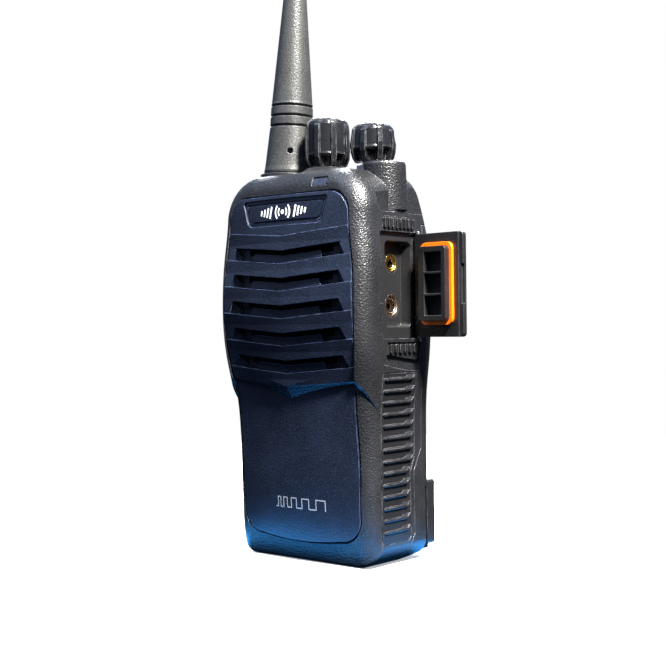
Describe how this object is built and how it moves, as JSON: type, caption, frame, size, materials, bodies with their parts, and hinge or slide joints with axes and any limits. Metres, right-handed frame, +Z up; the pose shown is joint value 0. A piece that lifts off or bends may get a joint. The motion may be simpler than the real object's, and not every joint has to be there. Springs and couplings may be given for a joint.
{
  "type": "portable two-way radio",
  "caption": "Handheld two-way radio with speaker louvres, a screw-on antenna, control knobs, a side accessory cover, talk keys, a slide-off battery and a belt clip.",
  "frame": {"origin": "on the flat base under the case, in the middle of the case's width", "axes": "+Z up along the antenna, the speaker front faces -Y, +X is the side with the accessory jacks"},
  "size_m": [0.0716, 0.0419, 0.2399],
  "materials": {
    "case_plastic": "fine sparkle texture",
    "panel_plastic": "satin",
    "nameplate_film": null,
    "louvre_plastic": "satin",
    "mesh_metal": "black coated perforated sheet",
    "grip_rubber": "matt, moulded ribs",
    "key_rubber": "matt",
    "key_plastic": "matt",
    "knob_plastic": "satin gloss",
    "antenna_rubber": "satin",
    "seal_rubber": "matt",
    "gasket_rubber": "matt orange silicone",
    "cover_plastic": "satin",
    "jack_plastic": "satin",
    "socket_brass": "polished",
    "socket_nickel": "polished, nickel plated",
    "light_lens": "smoked, clear",
    "plated_brass": "gold plated",
    "spring_steel": "bright",
    "shaft_steel": "turned",
    "screw_steel": "dark zinc plated",
    "chassis_aluminium": "die cast",
    "circuit_board": "green solder mask",
    "shield_steel": "tin plated",
    "magnet_steel": "plated",
    "cone_film": "satin film",
    "control_plastic": "matt",
    "gold_contacts": "gold plated",
    "battery_plastic": "matt",
    "cell_wrap": "shrink wrap",
    "clip_plastic": "satin"
  },
  "bodies": {
    "case": {"antenna_socket": "plated_brass", "battery_contacts": "gold_contacts", "channel_switch": "control_plastic", "chassis_screws": "screw_steel", "clip_bracket": "clip_plastic", "clip_pin": "shaft_steel", "clip_screws": "screw_steel", "clip_spring": "spring_steel", "contact_block": "control_plastic", "control_nuts": "shaft_steel", "cover_hinge_pin": "shaft_steel", "front_housing": "case_plastic", "front_panel": "panel_plastic", "jack_block": "jack_plastic", "key_switches": "circuit_board", "light_window": "light_lens", "lower_grip_pad": "grip_rubber", "main_board": "circuit_board", "microphone": "shield_steel", "nameplate": "nameplate_film", "rear_chassis": "chassis_aluminium", "shield_cans": "shield_steel", "side_grip_left": "grip_rubber", "side_grip_right": "grip_rubber", "socket_2_5mm": "socket_brass", "socket_3_5mm": "socket_nickel", "speaker_cone": "cone_film", "speaker_frame": "shield_steel", "speaker_louvre": "louvre_plastic", "speaker_magnet": "magnet_steel", "speaker_mesh": "mesh_metal", "upper_grip_pad": "grip_rubber", "volume_control": "control_plastic"},
    "ptt": {"ptt_button": "key_rubber"},
    "upper_key": {"side_key_upper": "key_rubber"},
    "lower_key": {"side_key_lower": "key_rubber"},
    "channel": {"channel_knob": "knob_plastic", "channel_shaft": "shaft_steel"},
    "volume": {"volume_knob": "knob_plastic", "volume_shaft": "shaft_steel"},
    "antenna_seat": {"antenna_seal": "seal_rubber"},
    "antenna": {"antenna_sheath": "antenna_rubber", "antenna_connector": "plated_brass", "antenna_whip": "spring_steel"},
    "cover": {"accessory_cover": "cover_plastic", "cover_gasket": "gasket_rubber"},
    "battery": {"battery_case": "case_plastic", "battery_cover": "battery_plastic", "battery_cells": "cell_wrap", "battery_pads": "gold_contacts", "charge_contacts": "gold_contacts", "protection_board": "circuit_board", "latch_spring": "spring_steel"},
    "latch": {"battery_latch": "key_plastic"},
    "clip": {"belt_clip": "clip_plastic"}
  },
  "joints": [
    {"name": "talk_key", "type": "slide", "parent": "case", "child": "ptt", "axis": [1, 0, 0], "range_m": [0, 0.0012], "stiffness_N_per_m": 2500, "springref_m": -0.0008},
    {"name": "upper_key", "type": "slide", "parent": "case", "child": "upper_key", "axis": [1, 0, 0], "range_m": [0, 0.0006], "stiffness_N_per_m": 3000, "springref_m": -0.0006},
    {"name": "lower_key", "type": "slide", "parent": "case", "child": "lower_key", "axis": [1, 0, 0], "range_m": [0, 0.0006], "stiffness_N_per_m": 3000, "springref_m": -0.0006},
    {"name": "channel_turn", "type": "hinge", "parent": "case", "child": "channel", "pos_m": [0, 0.0032, 0.11], "axis": [0, 0, 1], "range_deg": [-337.5, 0]},
    {"name": "volume_turn", "type": "hinge", "parent": "case", "child": "volume", "pos_m": [0.0165, 0.0032, 0.11], "axis": [0, 0, 1], "range_deg": [-300, 0]},
    {"name": "antenna_lift", "type": "slide", "parent": "case", "child": "antenna_seat", "axis": [0.0291, 0.025, 0.9993], "range_m": [0, 0.005]},
    {"name": "antenna_unscrew", "type": "hinge", "parent": "antenna_seat", "child": "antenna", "pos_m": [-0.0145, 0.0032, 0.1086], "axis": [0.0291, 0.025, 0.9993], "range_deg": [0, 2520]},
    {"name": "cover_swing", "type": "hinge", "parent": "case", "child": "cover", "pos_m": [0.0265, 0.0099, 0.0756], "axis": [0, 0, 1], "range_deg": [-85.5, 24.5]},
    {"name": "battery_slide", "type": "slide", "parent": "case", "child": "battery", "axis": [0, 0, -1], "range_m": [0, 0.096]},
    {"name": "latch_slide", "type": "slide", "parent": "battery", "child": "latch", "axis": [0, 1, 0], "range_m": [0, 0.0012], "stiffness_N_per_m": 1500, "springref_m": -0.0008, "deforming": ["latch_spring"]},
    {"name": "clip_open", "type": "hinge", "parent": "case", "child": "clip", "pos_m": [0, 0.0186, 0.0994], "axis": [1, 0, 0], "range_deg": [0, 18], "stiffness_Nm_per_rad": 0.6, "springref_deg": -22.92, "deforming": ["clip_spring"]}
  ],
  "couplings": [
    {"joint": "antenna_lift", "follows": "antenna_unscrew", "m_per_rad": 0.0001123}
  ]
}
